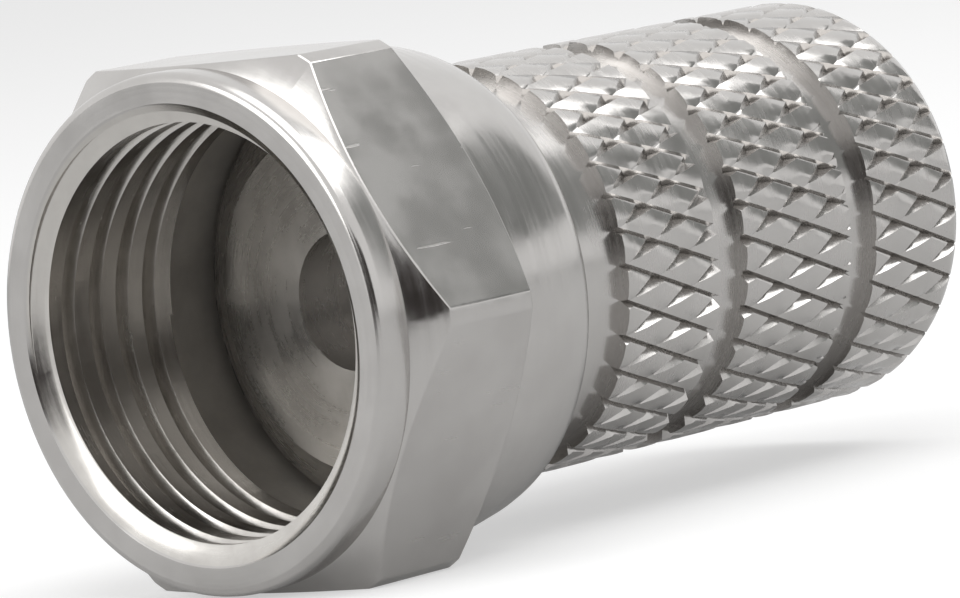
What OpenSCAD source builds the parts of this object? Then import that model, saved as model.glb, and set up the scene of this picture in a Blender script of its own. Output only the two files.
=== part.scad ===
// Twist-on coaxial plug for satellite and aerial cable.
// A loose hexagon coupling nut turns on the neck of a knurled sleeve and is
// held there by the flange of a bush that is pressed into the neck.
// The axis of the plug runs along X, and the cable enters at the +X end. The
// origin is the middle of the flange's face, the plane where the jack's end
// seats. The nut lies on one of its flats, +Z up. Distances in the modules are
// measured from the mouth of the nut.

/* [Coupling nut] */
// Width of the hexagon across its flats
nut_af = 11; // [10.5:0.1:13]
// Diameter across the trimmed corners of the hexagon
nut_corner_d = 12.5; // [12.1:0.1:12.6]
// Length of the nut, from its mouth to its rear face
nut_len = 6.6; // [6.3:0.1:8]
// Diameter of the round collar at the mouth and of the skirt behind the flats
collar_d = 10.96; // [10.6:0.02:10.98]
// Length of the round collar at the mouth
collar_len = 0.8; // [0.5:0.05:1]
// Length of the cone that cuts the front of the corners
front_cone_len = 0.45; // [0.3:0.05:0.6]
// Place of the hexagon's rear corners, from the mouth
hex_rear_x = 3.68; // [3.2:0.02:4]
// Length of the cone that cuts the rear of the corners
rear_cone_len = 0.4; // [0.3:0.05:0.6]
// Diameter at the rear edge of the skirt
skirt_rear_d = 10.2; // [9.8:0.1:10.4]
// Height by which the skirt bulges over a straight taper
skirt_bulge = 0.06; // [0.02:0.01:0.12]
// Width of the rounded edge round the mouth
mouth_edge = 0.18; // [0.05:0.01:0.25]

/* [Nut thread and chamber] */
// Outer (major) diameter of the nut's thread
thread_major_d = 9.52; // [9.4:0.01:9.6]
// Inner (minor) diameter of the nut's thread, the plain wall of the hole
thread_minor_d = 8.76; // [8.66:0.01:8.86]
// Depth of the threaded hole, from the mouth
thread_len = 3.9; // [3:0.1:4.2]
// Length of the countersink at the mouth
countersink_len = 0.35; // [0.2:0.05:0.5]
// Diameter of the unthreaded chamber behind the thread
chamber_d = 9.7; // [9.6:0.02:9.8]
// Thickness of the inner lip at the rear of the nut
lip_len = 0.65; // [0.5:0.05:0.8]

/* [Knurled sleeve] */
// Diameter of the neck and of the two turned grooves
neck_d = 8.4; // [8.2:0.05:8.5]
// Gap on the radius between the neck and the nut's lip
neck_gap = 0.07; // [0.03:0.01:0.1]
// Place of the first knurled band, from the mouth of the nut
knurl_x = 8.5; // [8:0.1:9]
// Diameter over the knurl
knurl_d = 9; // [8.8:0.05:9.4]
// Depth of the knurl's cuts
knurl_depth = 0.27; // [0.1:0.01:0.3]
// Number of teeth round the knurl
knurl_teeth = 36; // [24:1:44]
// Length of one diamond tooth along the axis
tooth_len = 2; // [1.6:0.1:2]
// Length of each turned groove, in half steps of a quarter tooth
groove_steps = 2; // [1:1:3]
// Length of the rear edge, where the knurl tapers off
rear_edge_len = 0.3; // [0.1:0.05:0.4]
// Height that the knurl loses over the rear edge
rear_edge_drop = 0.15; // [0.05:0.01:0.2]

/* [Cable hole] */
// Inner diameter of the coarse thread that bites into the cable's jacket
jacket_minor_d = 6.5; // [6.2:0.05:6.8]
// Diameter of the plain entry for the jacket
jacket_entry_d = 7.1; // [6.9:0.05:7.3]
// Length of the plain entry
jacket_entry_len = 1.5; // [1:0.1:2.5]
// Width of the bevel round the cable's entry
entry_bevel = 0.25; // [0.1:0.05:0.4]

/* [Flanged bush] */
// Distance of the flange's face from the mouth of the nut
face_x = 4.85; // [4.7:0.05:5]
// Diameter of the flat face of the flange
face_d = 7.4; // [7:0.1:7.8]
// Outer diameter of the flange
flange_d = 9.2; // [9:0.05:9.4]
// Length of the bevel round the flange's face
flange_bevel_len = 0.6; // [0.3:0.05:0.7]
// Thickness of the flange
flange_len = 1; // [0.9:0.01:1]
// Outer diameter of the barrel that is pressed into the neck
barrel_d = 6; // [5.8:0.1:6.2]
// Length of the barrel behind the flange
barrel_len = 2.5; // [1.5:0.1:3]
// Diameter of the hole for the cable's inner wire
wire_hole_d = 3; // [2.6:0.1:3.6]
// Thickness of the web that the wire passes through
web_len = 1.5; // [1.2:0.1:2]
// Diameter of the pocket that the cable's insulation fills
insulation_d = 4.8; // [4.6:0.1:5]

/* [Hidden] */
$fn = 128;
eps = 0.2;                                // overshoot of a cut past a face

collar_r = collar_d / 2;
neck_r = neck_d / 2;
flange_back_x = face_x + flange_len;
chamber_end_x = nut_len - lip_len;
hex_front_x = collar_len + front_cone_len;
skirt_x = hex_rear_x + rear_cone_len;
skirt_points = 8;                         // points along the bulged skirt

tooth_step = tooth_len / 4;               // spacing of the knurl's columns
tooth_angle = 360 / knurl_teeth;
crest_r = knurl_d / 2;
valley_r = crest_r - knurl_depth;
valley_drop = 0.02;                       // height that the valleys lose over the rear edge
band_steps = [6, 7, 5];                   // length of each knurled band, in columns
band_start = [0, band_steps[0] + groove_steps,
              band_steps[0] + band_steps[1] + 2 * groove_steps];
sleeve_end_x = knurl_x + (band_start[2] + band_steps[2]) * tooth_step + rear_edge_len;
core_end_x = knurl_x + (band_start[2] + 2) * tooth_step;    // the core ends inside the last band

// Moves what is drawn from the mouth of the nut to the middle of the flange's face.
module from_mouth() {
    translate([-face_x, 0, 0])
        children();
}

// A profile of [distance along the axis, radius] points, turned about X.
module turned(profile) {
    rotate([0, 90, 0])
        rotate_extrude()
            polygon([for (p = profile) [p[1], p[0]]]);
}

// A round hole along X.
module bore(x, length, d) {
    translate([x, 0, 0])
        rotate([0, 90, 0])
            cylinder(h = length, d = d);
}

// ---- coupling nut -----------------------------------------------------------

// The nut's outline in section, as if it were round out to its corners.
skirt_profile = [for (i = [0 : skirt_points])
    let (t = i / skirt_points)
    [skirt_x + t * (nut_len - skirt_x),
     collar_r + t * (skirt_rear_d / 2 - collar_r) + skirt_bulge * sin(180 * t)]];

module nut_outside() {
    intersection() {
        rotate([0, 90, 0])
            rotate([0, 0, 30])
                cylinder(h = nut_len, d = nut_af / cos(30), $fn = 6);
        turned(concat(
            [[0, 0], [0, collar_r - mouth_edge], [mouth_edge / 2, collar_r], [collar_len, collar_r],
             [hex_front_x, nut_corner_d / 2], [hex_rear_x, nut_corner_d / 2]],
            skirt_profile,
            [[nut_len, 0]]));
    }
}

module coupling_nut() {
    color("silver")
        from_mouth()
        difference() {
            nut_outside();
            bore(-eps, thread_len + 2 * eps, thread_minor_d);
            turned([[-eps, 0], [-eps, thread_major_d / 2], [0, thread_major_d / 2],
                    [countersink_len, thread_minor_d / 2 - eps / 4], [countersink_len, 0]]);
            bore(thread_len, chamber_end_x - thread_len, chamber_d);
            bore(chamber_end_x - eps, lip_len + 2 * eps, neck_d + 2 * neck_gap);
        }
}

// ---- knurled sleeve ---------------------------------------------------------
// The knurl is a net of flat-topped diamonds. Its columns lie a quarter tooth
// apart. An even column runs through the middle of every second row of teeth,
// and an odd column through the tips of all the flat tops.

function on_ring(angle, r, x) = [x, r * cos(angle), r * sin(angle)];

function is_middle(column) = column % 2 != 0;

// Every second middle column is turned by half a tooth.
function row_shift(column) = floor(column / 2) % 2;

// Radii are the crest and the valley at this column.
function middle_column(column, x, crest, valley) =
    [for (tooth = [0 : knurl_teeth - 1], corner = [-1, 1, 2])
        on_ring((tooth + row_shift(column) / 2 + corner / 4) * tooth_angle,
                corner == 2 ? valley : crest, x)];

function tip_column(x, crest, valley) =
    [for (half = [0 : 2 * knurl_teeth - 1], corner = [0, 1])
        on_ring((half + corner / 2) * tooth_angle / 2, corner == 0 ? crest : valley, x)];

function column_points(column, x, crest, valley) =
    is_middle(column) ? middle_column(column, x, crest, valley) : tip_column(x, crest, valley);

function column_size(column) = (is_middle(column) ? 3 : 4) * knurl_teeth;

function flipped(face) = [face[2], face[1], face[0]];

// The seven triangles of one tooth between a middle column, whose points start
// at m, and the column of tips next to it, whose points start at t.
function tooth_faces(tooth, shift, m, t) =
    let (low = m + 3 * tooth, high = low + 1, valley = low + 2,
         last_valley = m + (3 * tooth + 3 * knurl_teeth - 1) % (3 * knurl_teeth),
         ring = 4 * knurl_teeth, first = 2 * (2 * tooth + shift),
         tip = t + first % ring, above = t + (first + 1) % ring,
         next_tip = t + (first + 2) % ring, next_above = t + (first + 3) % ring,
         below = t + (first + ring - 1) % ring)
    [[low, tip, high],
     [high, above, valley], [high, tip, above],
     [last_valley, below, low], [low, below, tip],
     [valley, above, next_tip], [valley, next_tip, next_above]];

// All triangles between column c and the next one, with points from a and b.
function strip_faces(c, a, b) =
    let (from_middle = is_middle(c), shift = row_shift(from_middle ? c : c + 1),
         faces = [for (tooth = [0 : knurl_teeth - 1])
                      each tooth_faces(tooth, shift, from_middle ? a : b, from_middle ? b : a)])
    from_middle ? faces : [for (face = faces) flipped(face)];

// Triangles between two like columns of n points, from a and b.
function plain_strip(n, a, b) =
    [for (i = [0 : n - 1], side = [0, 1])
        let (j = (i + 1) % n)
        side == 0 ? [a + i, b + i, a + j] : [a + j, b + i, b + j]];

// A knurled band from column first to column last, as one closed solid.
// With an edge, its rear end tapers off.
module knurl_band(first, last, edge) {
    columns = [for (c = [first : last]) c];
    starts = [for (i = 0, s = 0; i <= len(columns); s = s + column_size(first + i), i = i + 1) s];
    first_size = column_size(first);
    last_size = column_size(last);
    last_x = knurl_x + last * tooth_step;
    end_x = edge ? last_x + rear_edge_len : last_x;
    teeth_points = [for (c = columns)
        each column_points(c, knurl_x + c * tooth_step, crest_r, valley_r)];
    edge_points = column_points(last, end_x, crest_r - rear_edge_drop, valley_r - valley_drop);
    points = edge ? concat(teeth_points, edge_points) : teeth_points;
    end_start = len(points) - last_size;
    front_centre = len(points);
    rear_centre = front_centre + 1;
    polyhedron(
        points = concat(points, [[knurl_x + first * tooth_step, 0, 0], [end_x, 0, 0]]),
        faces = concat(
            [for (i = [0 : len(columns) - 2]) each strip_faces(first + i, starts[i], starts[i + 1])],
            edge ? plain_strip(last_size, end_start - last_size, end_start) : [],
            [for (i = [0 : first_size - 1]) [front_centre, i, (i + 1) % first_size]],
            [for (i = [0 : last_size - 1])
                [rear_centre, end_start + (i + 1) % last_size, end_start + i]]),
        convexity = 6);
}

module knurled_sleeve() {
    color("gainsboro")
        from_mouth()
        difference() {
            union() {
                bore(flange_back_x, core_end_x - flange_back_x, neck_d);
                for (i = [0 : 2])
                    knurl_band(band_start[i], band_start[i] + band_steps[i], i == 2);
            }
            bore(flange_back_x - eps, barrel_len + 2 * eps, barrel_d);
            bore(flange_back_x + barrel_len, sleeve_end_x - flange_back_x - barrel_len + eps,
                 jacket_minor_d);
            bore(sleeve_end_x - jacket_entry_len, jacket_entry_len + eps, jacket_entry_d);
            turned([[sleeve_end_x - entry_bevel, 0],
                    [sleeve_end_x - entry_bevel, jacket_entry_d / 2 - eps / 4],
                    [sleeve_end_x + eps, jacket_entry_d / 2 + entry_bevel + eps],
                    [sleeve_end_x + eps, 0]]);
        }
}

// ---- flanged bush -----------------------------------------------------------

module flanged_bush() {
    color("darkgray")
        from_mouth()
        difference() {
            turned([[face_x, 0], [face_x, face_d / 2],
                    [face_x + flange_bevel_len, flange_d / 2], [flange_back_x, flange_d / 2],
                    [flange_back_x, barrel_d / 2], [flange_back_x + barrel_len, barrel_d / 2],
                    [flange_back_x + barrel_len, 0]]);
            bore(face_x - eps, web_len + 2 * eps, wire_hole_d);
            bore(face_x + web_len, flange_len + barrel_len - web_len + eps, insulation_d);
        }
}

coupling_nut();
knurled_sleeve();
flanged_bush();
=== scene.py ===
import math

import bpy
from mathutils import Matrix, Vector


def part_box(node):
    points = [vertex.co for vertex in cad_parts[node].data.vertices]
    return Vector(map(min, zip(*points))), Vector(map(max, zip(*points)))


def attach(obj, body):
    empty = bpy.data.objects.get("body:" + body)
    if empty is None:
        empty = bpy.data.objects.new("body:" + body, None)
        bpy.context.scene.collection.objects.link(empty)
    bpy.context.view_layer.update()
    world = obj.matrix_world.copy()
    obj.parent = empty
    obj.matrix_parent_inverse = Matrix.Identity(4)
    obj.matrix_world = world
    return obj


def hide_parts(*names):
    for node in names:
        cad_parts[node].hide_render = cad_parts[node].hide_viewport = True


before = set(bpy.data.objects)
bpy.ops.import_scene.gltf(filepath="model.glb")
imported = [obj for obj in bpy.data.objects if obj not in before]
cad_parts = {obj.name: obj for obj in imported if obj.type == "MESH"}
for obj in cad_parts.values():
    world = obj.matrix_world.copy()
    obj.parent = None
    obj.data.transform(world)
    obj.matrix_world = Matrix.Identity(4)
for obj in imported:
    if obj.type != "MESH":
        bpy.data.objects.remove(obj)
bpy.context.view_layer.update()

# ---------------------------------------------------------------- Camera
# A long lens looks into the nut's mouth from the front and the side, a little
# above the axis, and is turned so that the plug climbs towards the right.
bpy.ops.object.camera_add(location=(-0.10456, -0.10232, 0.01251),
                          rotation=(math.radians(84.943), math.radians(7.488), math.radians(-47.337)))
camera = bpy.context.object
camera.name = "camera"
camera.data.lens = 262.5
camera.data.sensor_width = 36
camera.data.clip_start = 0.01
bpy.context.scene.camera = camera
bpy.context.scene.view_settings.view_transform = "Standard"


# ---------------------------------------------------------------- Coupling nut
# Free-cutting brass, turned from hexagon bar and plated with nickel. The tap
# leaves a fine thread in the mouth, and the bore widens behind it. A lip at
# the back is trapped by the bush's flange, so the nut turns freely.
MM = 0.001
mouth_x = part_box("coupling_nut")[0].x / MM
nut_back_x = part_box("coupling_nut")[1].x / MM


def start_clean():
    if bpy.context.object and bpy.context.object.mode != "OBJECT":
        bpy.ops.object.mode_set(mode="OBJECT")
    bpy.ops.object.select_all(action="DESELECT")


def turned(name, stations, sides=192):
    """A solid turned about the axis: a disc is drawn out and resized from station to station."""
    start_clean()
    x, radius = stations[0]
    bpy.ops.mesh.primitive_circle_add(vertices=sides, radius=radius, fill_type="NGON",
                                      location=(x, 0, 0), rotation=(0, math.pi / 2, 0))
    piece = bpy.context.object
    piece.name = name
    bpy.ops.object.transform_apply(location=True, rotation=True, scale=True)
    bpy.ops.object.mode_set(mode="EDIT")
    bpy.ops.mesh.select_all(action="SELECT")
    for next_x, next_radius in stations[1:]:
        bpy.ops.mesh.extrude_region_move(TRANSFORM_OT_translate={"value": (next_x - x, 0, 0)})
        share = next_radius / radius
        bpy.ops.transform.resize(value=(1, share, share), center_override=(next_x, 0, 0))
        x, radius = next_x, next_radius
    bpy.ops.mesh.select_all(action="SELECT")
    bpy.ops.mesh.normals_make_consistent(inside=False)
    bpy.ops.object.mode_set(mode="OBJECT")
    return piece


def cut(piece, tool, way="DIFFERENCE"):
    """The tool takes its shape out of the piece, or with INTERSECT leaves only what both hold."""
    start_clean()
    piece.select_set(True)
    bpy.context.view_layer.objects.active = piece
    bpy.ops.object.modifier_add(type="BOOLEAN")
    step = piece.modifiers[-1]
    step.operation = way
    step.solver = "EXACT"
    step.object = tool
    bpy.ops.object.modifier_apply(modifier=step.name)
    bpy.data.objects.remove(tool)


def finish_shape(piece, angle):
    """Millimetres become metres, edges sharper than the angle stay sharp, and flats shade flat."""
    start_clean()
    piece.select_set(True)
    bpy.context.view_layer.objects.active = piece
    piece.scale = (MM, MM, MM)
    bpy.ops.object.transform_apply(location=True, rotation=True, scale=True)
    bpy.ops.object.shade_smooth_by_angle(angle=math.radians(angle))
    bpy.ops.object.modifier_add(type="WEIGHTED_NORMAL")
    piece.modifiers[-1].keep_sharp = True
    bpy.ops.object.modifier_apply(modifier=piece.modifiers[-1].name)


nut_profile = [(0, 5.28), (0.05, 5.38), (0.13, 5.43), (0.25, 5.45), (0.8, 5.45), (1.25, 6.25), (3.68, 6.25),
               (4.1, 5.45), (4.6, 5.44), (5.2, 5.39), (5.8, 5.31), (6.35, 5.2), (6.55, 5.14), (6.66, 5.06),
               (6.7, 4.92)]
nut = turned("coupling_nut_plated", [(mouth_x + s, r) for s, r in nut_profile])

# The hexagon bar: 11 mm across its flats, lying on one of them.
start_clean()
bar_radius = 5.5 / math.cos(math.radians(30))
bpy.ops.mesh.primitive_cylinder_add(vertices=6, radius=bar_radius, depth=12, location=(mouth_x + 3.3, 0, 0),
                                    rotation=(0, math.pi / 2, 0))
bar = bpy.context.object
bpy.ops.object.transform_apply(location=True, rotation=True, scale=True)
cut(nut, bar, "INTERSECT")


def soften(piece, width, segments, wanted):
    """Wear and plating round the edges that the test picks."""
    start_clean()
    piece.select_set(True)
    bpy.context.view_layer.objects.active = piece
    bpy.ops.object.mode_set(mode="EDIT")
    bpy.ops.mesh.select_mode(type="EDGE")
    bpy.ops.mesh.select_all(action="DESELECT")
    bpy.ops.mesh.edges_select_sharp(sharpness=math.radians(14))
    bpy.ops.object.mode_set(mode="OBJECT")
    mesh = piece.data
    for edge in mesh.edges:
        if edge.select:
            a, b = (mesh.vertices[i].co for i in edge.vertices)
            edge.select = wanted((a + b) / 2, a - b)
    bpy.ops.object.mode_set(mode="EDIT")
    bpy.ops.mesh.bevel(offset=width, offset_type="OFFSET", segments=segments, profile=0.5, clamp_overlap=True)
    bpy.ops.object.mode_set(mode="OBJECT")


def on_hexagon(middle, along):
    radius = math.hypot(middle.y, middle.z)
    return radius > 5.47


soften(nut, 0.045, 3, on_hexagon)

# The bore: a small countersink, the thread's crests, the wide chamber, and the lip's hole.
bore_profile = [(-1, 5.1), (-0.04, 4.87), (0.0, 4.82), (0.04, 4.78), (0.28, 4.5), (0.3, 4.38), (3.9, 4.38),
                (3.93, 4.85), (6.1, 4.85), (6.101, 4.27), (8, 4.27)]
cut(nut, turned("bore_tool", [(mouth_x + s, r) for s, r in bore_profile]))

# The tap: a V-shaped worm wound at 32 turns to the inch, from the open air to the chamber.
PITCH = 25.4 / 32
start_clean()
bpy.ops.mesh.primitive_plane_add(size=1, location=(0, 0, 0))
tap = bpy.context.object
tap_section = [(-0.25, 4.22), (-0.05, 4.74), (0.05, 4.74), (0.25, 4.22)]
for vertex, (s, r) in zip([tap.data.vertices[i] for i in (0, 1, 3, 2)], tap_section):
    vertex.co = (mouth_x - 0.75 + s, r, 0)
bpy.ops.object.mode_set(mode="EDIT")
bpy.ops.mesh.select_all(action="SELECT")
bpy.ops.mesh.delete(type="ONLY_FACE")
bpy.ops.object.mode_set(mode="OBJECT")
bpy.ops.object.modifier_add(type="SCREW")
screw = tap.modifiers[-1]
screw.axis = "X"
screw.screw_offset = PITCH
screw.iterations = 6
screw.steps = 96
screw.render_steps = 96
screw.use_merge_vertices = False
bpy.ops.object.modifier_apply(modifier=screw.name)
bpy.ops.object.mode_set(mode="EDIT")
bpy.ops.mesh.select_mode(type="EDGE")
bpy.ops.mesh.select_all(action="DESELECT")
bpy.ops.mesh.select_non_manifold(extend=False, use_wire=False, use_multi_face=False, use_non_contiguous=False,
                                 use_verts=False)
bpy.ops.mesh.edge_face_add()
bpy.ops.mesh.fill_holes(sides=4)
bpy.ops.mesh.select_all(action="SELECT")
bpy.ops.mesh.normals_make_consistent(inside=False)
bpy.ops.object.mode_set(mode="OBJECT")
cut(nut, tap)
finish_shape(nut, 32)


class Flow:
    """One socket in a finish's nodes. Sums written on it add Math nodes."""

    def __init__(self, tree, socket):
        self.tree = tree
        self.socket = socket

    def node(self, kind, settings=None, feeds=None, output=0):
        made = self.tree.nodes.new(kind)
        for name, value in (settings or {}).items():
            if name == "stops":
                ramp = made.color_ramp
                while len(ramp.elements) < len(value):
                    ramp.elements.new(0.5)
                for element, (place, colour) in zip(ramp.elements, value):
                    element.position = place
                    element.color = colour
            else:
                setattr(made, name, value)
        for name, value in (feeds or {}).items():
            if isinstance(value, Flow):
                self.tree.links.new(value.socket, made.inputs[name])
            else:
                made.inputs[name].default_value = value
        return Flow(self.tree, made.outputs[output])

    def math(self, operation, other=0.0):
        return self.node("ShaderNodeMath", {"operation": operation}, {0: self, 1: other})

    def __add__(self, other):
        return self.math("ADD", other)

    __radd__ = __add__

    def __mul__(self, other):
        return self.math("MULTIPLY", other)

    __rmul__ = __mul__

    def __sub__(self, other):
        return self.math("SUBTRACT", other)

    def __rsub__(self, other):
        return self.node("ShaderNodeMath", {"operation": "SUBTRACT"}, {0: other, 1: self})

    def __pow__(self, other):
        return self.math("POWER", other)

    def mix(self, dark, light):
        """The colour between dark and light that this mask asks for."""
        return self.node("ShaderNodeMix", {"data_type": "RGBA"}, {0: self, 6: dark, 7: light}, 2)

    def ramp(self, low, high):
        """0 below low, 1 above high, smooth between."""
        return self.node("ShaderNodeMapRange", {"interpolation_type": "SMOOTHSTEP"},
                         {"Value": self, "From Min": low, "From Max": high})


def finish(name, colour, roughness):
    """A new metal finish with its shader and the piece's own coordinates in millimetres."""
    material = bpy.data.materials.new(name)
    material.use_nodes = True
    tree = material.node_tree
    shader = tree.nodes["Principled BSDF"]
    shader.inputs["Metallic"].default_value = 1
    shader.inputs["Base Color"].default_value = colour
    shader.inputs["Roughness"].default_value = roughness
    start = Flow(tree, None)
    place = start.node("ShaderNodeTexCoord", output=3)
    place = start.node("ShaderNodeVectorMath", {"operation": "SCALE"}, {0: place, "Scale": 1000.0})
    parts = start.node("ShaderNodeSeparateXYZ", feeds={0: place})
    x = parts
    y = Flow(tree, parts.socket.node.outputs[1])
    z = Flow(tree, parts.socket.node.outputs[2])
    return material, tree, shader, start, place, x, y, z


def connect(tree, flow, shader, socket):
    tree.links.new(flow.socket, shader.inputs[socket])


NICKEL_DARK = (0.51, 0.495, 0.48, 1)
NICKEL_LIGHT = (0.56, 0.545, 0.53, 1)


def turned_nickel(name, dark, light, rough_low, rough_high, ring_depth, ring_scale=9.0, metal=1.0):
    """Nickel over turned brass: fine rings round the axis, cloudy gloss and small pits."""
    material, tree, shader, start, place, x, y, z = finish(name, light, rough_low)
    shader.inputs["Metallic"].default_value = metal
    radius = (y * y + z * z) ** 0.5
    rings = start.node("ShaderNodeCombineXYZ", feeds={0: x * ring_scale, 1: radius * ring_scale, 2: y * 0.15})
    ring_noise = start.node("ShaderNodeTexNoise", feeds={"Vector": rings, "Scale": 1.0, "Detail": 4.0,
                                                         "Roughness": 0.6})
    cloud = start.node("ShaderNodeTexNoise", feeds={"Vector": place, "Scale": 0.8, "Detail": 5.0,
                                                    "Roughness": 0.6})
    grain = start.node("ShaderNodeTexNoise", feeds={"Vector": place, "Scale": 14.0, "Detail": 3.0})
    connect(tree, cloud.ramp(0.2, 0.8).mix(dark, light), shader, "Base Color")
    rough = rough_low + (rough_high - rough_low) * (ring_noise * 0.5 + cloud * 0.5).ramp(0.35, 0.65)
    connect(tree, rough, shader, "Roughness")
    height = ring_noise * ring_depth + grain * (ring_depth * 0.3) + cloud * 0.0012
    bump = start.node("ShaderNodeBump", feeds={"Height": height, "Distance": 0.001, "Strength": 0.5})
    connect(tree, bump, shader, "Normal")
    return material


def drawn_nickel(name, dark, light):
    """Nickel over the bar's drawn flats: faint lines along the bar, tiny scratches and dull patches."""
    material, tree, shader, start, place, x, y, z = finish(name, light, 0.2)
    lines = start.node("ShaderNodeCombineXYZ", feeds={0: x * 0.5, 1: y * 14.0, 2: z * 14.0})
    drawn = start.node("ShaderNodeTexNoise", feeds={"Vector": lines, "Scale": 1.0, "Detail": 4.0})
    cloud = start.node("ShaderNodeTexNoise", feeds={"Vector": place, "Scale": 0.7, "Detail": 5.0})
    turned_place = start.node("ShaderNodeMapping", feeds={"Vector": place, "Rotation": (0.3, 0.5, 0.9),
                                                          "Scale": (0.35, 5.0, 5.0)})
    scratch = start.node("ShaderNodeTexNoise", feeds={"Vector": turned_place, "Scale": 1.3, "Detail": 2.0})
    scratch = scratch.ramp(0.69, 0.72)
    connect(tree, cloud.ramp(0.3, 0.7).mix(dark, light), shader, "Base Color")
    rough = 0.2 + 0.06 * cloud.ramp(0.35, 0.65) + 0.1 * scratch
    connect(tree, rough, shader, "Roughness")
    height = drawn * 0.0003 + scratch * -0.0006 + cloud * 0.0008
    bump = start.node("ShaderNodeBump", feeds={"Height": height, "Distance": 0.001, "Strength": 1.0})
    connect(tree, bump, shader, "Normal")
    return material


nut_turned = turned_nickel("nut_turned_nickel", NICKEL_DARK, NICKEL_LIGHT, 0.14, 0.26, 0.0016)
nut_flats = drawn_nickel("nut_drawn_nickel", NICKEL_DARK, NICKEL_LIGHT)
nut.data.materials.clear()
nut.data.materials.append(nut_turned)
nut.data.materials.append(nut_flats)
# The chamber and the thread get lighter copies of the nickel. This is painted light that lifts the shade inside
# the nut. The chamber's copy is also rougher and less metallic, for the duller plating in the recess.
nut.data.materials.append(turned_nickel("nut_bore_nickel_painted_lift", (0.50, 0.475, 0.44, 1), (0.66, 0.63, 0.58, 1),
                                        0.3, 0.5, 0.003, metal=0.35))
nut.data.materials.append(turned_nickel("nut_thread_nickel_painted_lift", (0.52, 0.50, 0.475, 1), (0.64, 0.62, 0.59, 1),
                                        0.16, 0.28, 0.001))
for face in nut.data.polygons:
    across = max(abs(face.normal.z), abs(face.normal.z * 0.5 + face.normal.y * 0.866),
                 abs(face.normal.z * 0.5 - face.normal.y * 0.866))
    place_along = face.center
    outside = max(abs(place_along.z), abs(place_along.z * 0.5 + place_along.y * 0.866),
                  abs(place_along.z * 0.5 - place_along.y * 0.866))
    face.material_index = 1 if across > 0.9999 and outside > 5.495 * MM else 0
    reach = math.hypot(place_along.y, place_along.z) / MM
    depth = place_along.x / MM - mouth_x
    # Faces in the chamber and on the thread take the lighter copies: painted lift inside the nut.
    if reach < 4.9 and depth > 3.88:
        face.material_index = 2
    elif reach < 4.78 and depth > 0.02:
        face.material_index = 3
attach(nut, "nut")
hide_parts("coupling_nut")


# ---------------------------------------------------------------- Knurled sleeve
# Brass tube, turned, rolled with a diamond knurl and plated. Two turned grooves
# part the knurl into three bands. The cable's jacket screws into the back.
neck_front_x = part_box("knurled_sleeve")[0].x / MM
sleeve_back_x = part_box("knurled_sleeve")[1].x / MM
KNURL_RADIUS = 4.5
NECK_RADIUS = 4.22
BANDS = [(8.6, 11.55), (12.45, 15.95), (16.8, 19.8)]

# One tooth's patch of the net. A runs across a ridge, from one long cut to the
# next, and b along it, with the short cut's notch in the middle.
tooth_rows = [(0.0, -0.15, 0.20, -0.26), (0.06, -0.03, 0.21, -0.24), (0.14, 0.0, 0.20, -0.21),
              (0.50, 0.0, 0.12, -0.11), (0.76, -0.02, 0.03, -0.035), (0.93, -0.05, 0.10, -0.07),
              (1.0, -0.15, 0.20, -0.26)]
start_clean()
bpy.ops.mesh.primitive_grid_add(x_subdivisions=4, y_subdivisions=len(tooth_rows) - 1, size=1)
net = bpy.context.object
net.name = "knurl_net"
columns = sorted({round(v.co.x, 4) for v in net.data.vertices})
rows = sorted({round(v.co.y, 4) for v in net.data.vertices})
for vertex in net.data.vertices:
    a, ridge, notch, floor = tooth_rows[rows.index(round(vertex.co.y, 4))]
    column = columns.index(round(vertex.co.x, 4))
    b = (-0.5, -notch, 0.0, notch, 0.5)[column]
    height = floor if column == 2 else ridge
    angle = math.radians(5 * (b + a))
    radius = KNURL_RADIUS + height
    vertex.co = (mouth_x + 8.6 + b - a, -radius * math.cos(angle), -radius * math.sin(angle))


def lay_out(piece, count, along, degrees):
    """Copies of the piece, each moved and turned on from the one before, with shared edges joined."""
    start_clean()
    bpy.ops.object.empty_add(location=(along, 0, 0), rotation=(math.radians(degrees), 0, 0))
    step = bpy.context.object
    start_clean()
    piece.select_set(True)
    bpy.context.view_layer.objects.active = piece
    bpy.ops.object.modifier_add(type="ARRAY")
    array = piece.modifiers[-1]
    array.count = count
    array.use_relative_offset = False
    array.use_object_offset = True
    array.offset_object = step
    array.use_merge_vertices = True
    array.use_merge_vertices_cap = True
    array.merge_threshold = 0.003
    bpy.context.view_layer.update()
    bpy.ops.object.modifier_apply(modifier=array.name)
    bpy.data.objects.remove(step)


lay_out(net, 36, 0, 10)
lay_out(net, 14, 1, 5)
start_clean()
net.select_set(True)
bpy.context.view_layer.objects.active = net
bpy.ops.object.mode_set(mode="EDIT")
bpy.ops.mesh.select_all(action="SELECT")
bpy.ops.mesh.remove_doubles(threshold=0.003)
bpy.ops.mesh.normals_make_consistent(inside=False)
bpy.ops.object.mode_set(mode="OBJECT")
print("net", len(net.data.vertices), len(net.data.polygons), max(v.co.x for v in net.data.vertices))

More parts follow.
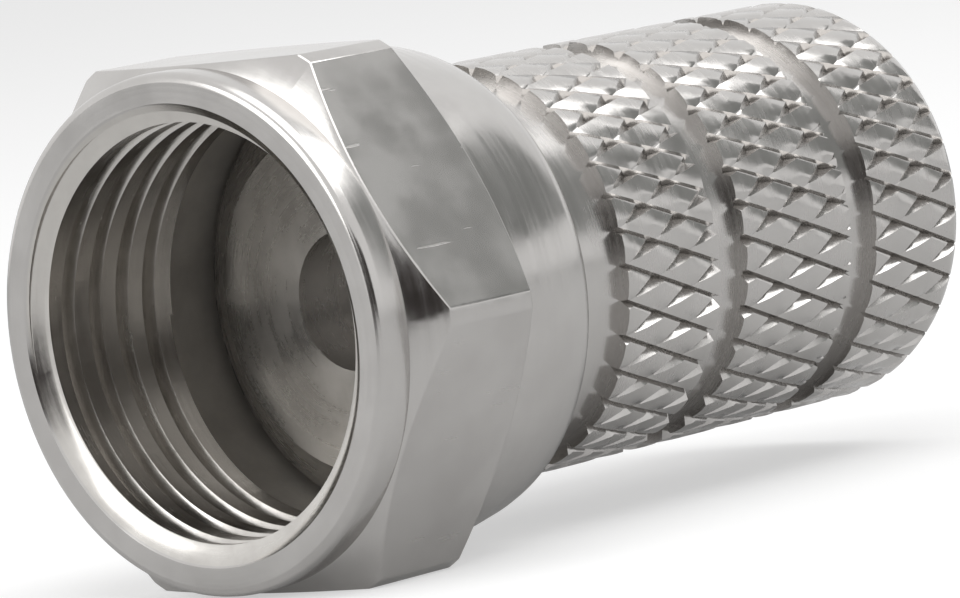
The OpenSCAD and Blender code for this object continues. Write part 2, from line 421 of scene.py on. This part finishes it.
sleeve = turned("knurled_sleeve_plated", [(neck_front_x, 4.12), (neck_front_x + 0.08, NECK_RADIUS),
                                          (mouth_x + 18, NECK_RADIUS)])
for front, back in BANDS:
    start_clean()
    net.select_set(True)
    bpy.context.view_layer.objects.active = net
    bpy.ops.object.duplicate()
    band = bpy.context.object
    bpy.ops.object.mode_set(mode="EDIT")
    bpy.ops.mesh.select_all(action="SELECT")
    bpy.ops.mesh.bisect(plane_co=(mouth_x + front, 0, 0), plane_no=(1, 0, 0), use_fill=True, clear_inner=True,
                        threshold=0.0001)
    bpy.ops.mesh.select_all(action="SELECT")
    bpy.ops.mesh.bisect(plane_co=(mouth_x + back, 0, 0), plane_no=(1, 0, 0), use_fill=True, clear_outer=True,
                        threshold=0.0001)
    bpy.ops.object.mode_set(mode="OBJECT")
    if (front, back) == BANDS[-1]:
        cut(band, turned("rear_taper", [(mouth_x + 16, 4.7), (mouth_x + 19.3, 4.51), (mouth_x + 19.55, 4.47),
                                        (mouth_x + 19.7, 4.4), (mouth_x + 19.79, 4.28), (mouth_x + 20, 4.2)]),
            "INTERSECT")
    cut(sleeve, band, "UNION")
bpy.data.objects.remove(net)

sleeve_bore = [(-1, 3.0), (8.35, 3.0), (8.351, 3.25), (18.2, 3.25), (18.35, 3.55), (19.5, 3.55), (19.8, 3.8),
               (20.4, 4.3)]
cut(sleeve, turned("sleeve_bore_tool", [(mouth_x + s, r) for s, r in sleeve_bore]))
sleeve_nickel = turned_nickel("sleeve_nickel", NICKEL_DARK, NICKEL_LIGHT, 0.16, 0.3, 0.001)
sleeve.data.materials.clear()
sleeve.data.materials.append(sleeve_nickel)
finish_shape(sleeve, 30)
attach(sleeve, "sleeve")
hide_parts("knurled_sleeve")


# ---------------------------------------------------------------- Flanged bush
# Turned brass, pressed into the sleeve's neck. Its flange shows at the bottom
# of the nut, with the marks of the facing tool round the hole for the wire.
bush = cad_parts["flanged_bush"]
bush_nickel = turned_nickel("bush_nickel", (0.34, 0.325, 0.305, 1), (0.50, 0.48, 0.45, 1), 0.2, 0.38, 0.006, 6.0,
                            metal=0.8)
for slot in bush.material_slots:
    slot.material = bush_nickel


# ---------------------------------------------------------------- Studio
# A white table and white surroundings, one broad soft light overhead, a grey
# board at the right and a dark one behind the lens, so that the metal has
# something to reflect. The boards aren't seen by the lens itself.
bpy.ops.object.select_all(action="DESELECT")
bpy.ops.mesh.primitive_plane_add(size=3, location=(0, 0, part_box("coupling_nut")[0].z))
table = bpy.context.object
table.name = "table"
table_white = bpy.data.materials.new("table_white")
table_white.use_nodes = True
tree = table_white.node_tree
shader = tree.nodes["Principled BSDF"]
shader.inputs["Base Color"].default_value = (0.55, 0.55, 0.55, 1)
shader.inputs["Roughness"].default_value = 0.9
shader.inputs["Specular IOR Level"].default_value = 0.0
start = Flow(tree, None)
camera_ray = start.node("ShaderNodeLightPath")
rays = camera_ray.socket.node.outputs
seen = camera_ray.math("MAXIMUM", Flow(tree, rays["Is Glossy Ray"]) * 0.3)
seen = seen.math("MAXIMUM", Flow(tree, rays["Is Transmission Ray"]))
shader.inputs["Emission Color"].default_value = (1, 1, 1, 1)
tree.links.new((seen * 0.5).socket, shader.inputs["Emission Strength"])
table.data.materials.append(table_white)


def board(name, place, size, colour):
    """A card on a stand, facing the plug."""
    bpy.ops.object.select_all(action="DESELECT")
    bpy.ops.mesh.primitive_plane_add(size=1, location=place)
    card = bpy.context.object
    card.name = name
    card.scale = (size[0], size[1], 1)
    card.rotation_euler = (-card.location).to_track_quat("Z", "Y").to_euler()
    bpy.ops.object.transform_apply(location=True, rotation=True, scale=True)
    paint = bpy.data.materials.new(name)
    paint.use_nodes = True
    paint.node_tree.nodes["Principled BSDF"].inputs["Base Color"].default_value = colour
    paint.node_tree.nodes["Principled BSDF"].inputs["Roughness"].default_value = 0.8
    card.data.materials.append(paint)
    card.visible_camera = False
    card.visible_shadow = False
    return card


board("dark_board", (-0.17, -0.16, 0.03), (0.16, 0.13), (0.03, 0.022, 0.018, 1))
board("grey_board", (0.17, -0.10, 0.09), (0.16, 0.11), (0.45, 0.46, 0.45, 1))
board("low_flag", (-0.056, -0.013, 0.004), (0.03, 0.02), (0.02, 0.012, 0.01, 1))


def softbox(name, place, size, watts):
    bpy.ops.object.light_add(type="AREA", location=place)
    lamp = bpy.context.object
    lamp.name = name
    lamp.data.shape = "RECTANGLE"
    lamp.data.size = size[0]
    lamp.data.size_y = size[1]
    lamp.data.energy = watts
    lamp.rotation_euler = lamp.location.to_track_quat("Z", "Y").to_euler()
    return lamp


softbox("overhead_softbox", (0.0, -0.05, 0.22), (0.24, 0.24), 0.30)
softbox("front_softbox", (-0.20, 0.07, 0.10), (0.14, 0.14), 0.16)
softbox("right_softbox", (0.12, -0.08, 0.17), (0.10, 0.05), 0.05)

world = bpy.context.scene.world or bpy.data.worlds.new("studio")
bpy.context.scene.world = world
world.use_nodes = True
tree = world.node_tree
start = Flow(tree, None)
camera_ray = start.node("ShaderNodeLightPath")
rays = camera_ray.socket.node.outputs
seen = camera_ray.math("MAXIMUM", Flow(tree, rays["Is Glossy Ray"]))
seen = seen.math("MAXIMUM", Flow(tree, rays["Is Transmission Ray"]))
background = tree.nodes["Background"]
background.inputs["Color"].default_value = (1, 1, 1, 1)
tree.links.new((0.5 + 0.5 * seen).socket, background.inputs["Strength"])
